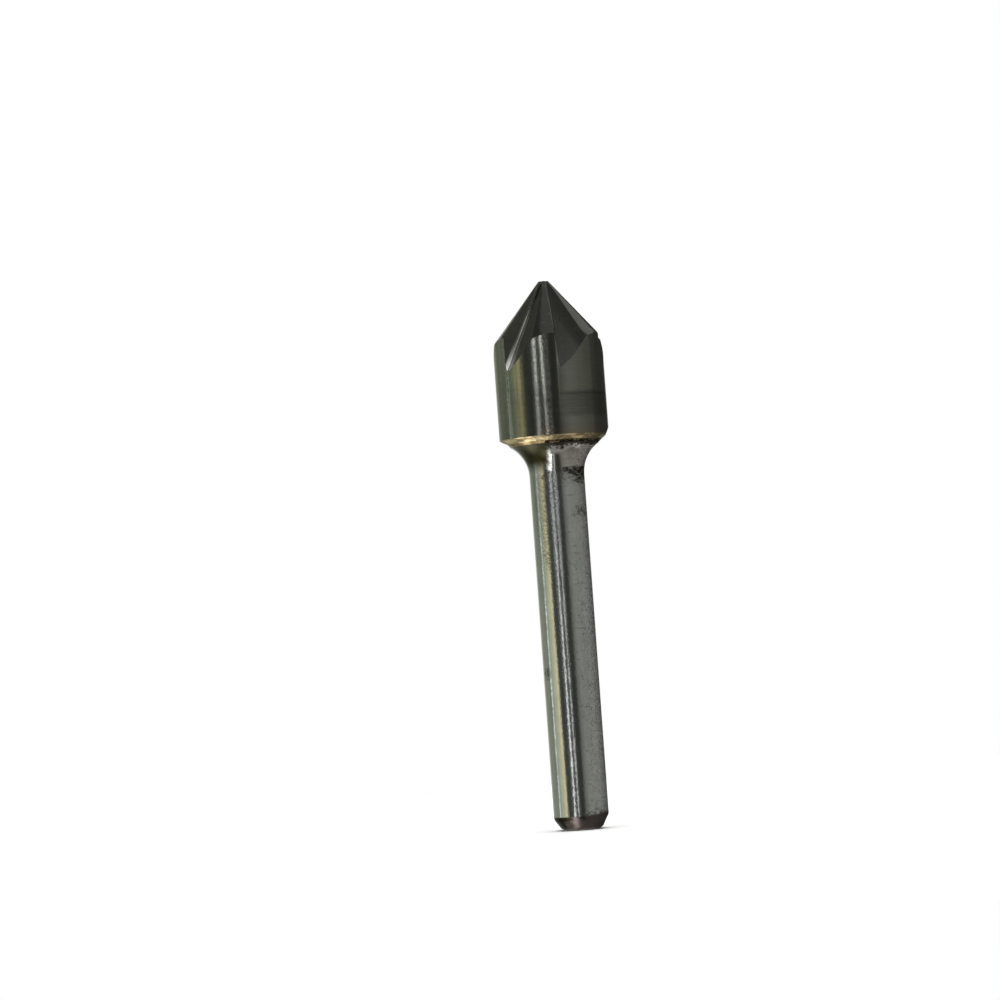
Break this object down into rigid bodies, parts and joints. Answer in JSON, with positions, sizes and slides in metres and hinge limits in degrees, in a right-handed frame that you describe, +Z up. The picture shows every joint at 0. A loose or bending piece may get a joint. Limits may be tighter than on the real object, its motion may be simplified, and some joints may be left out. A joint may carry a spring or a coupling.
{
  "type": "countersink bit",
  "caption": "Fluted carbide countersink head with an 82 degree point, brazed to a plain round steel shank with a flared neck.",
  "frame": {"origin": "centre of the shank's end face", "axes": "+Z up the axis from the shank's end to the point of the head; +X and -Y to the right and front of the picture's view"},
  "size_m": [0.0126, 0.0126, 0.0635],
  "materials": {
    "carbide": "ground cemented carbide, dark grey, with fine grinding marks",
    "braze": "as-flowed braze, uneven, with burnt flux at its foot",
    "steel": "ground steel, used, with brown heat stains and fine pits"
  },
  "bodies": {
    "root": {"carbide_head": "carbide", "braze_joint": "braze", "steel_shank": "steel"}
  },
  "joints": []
}
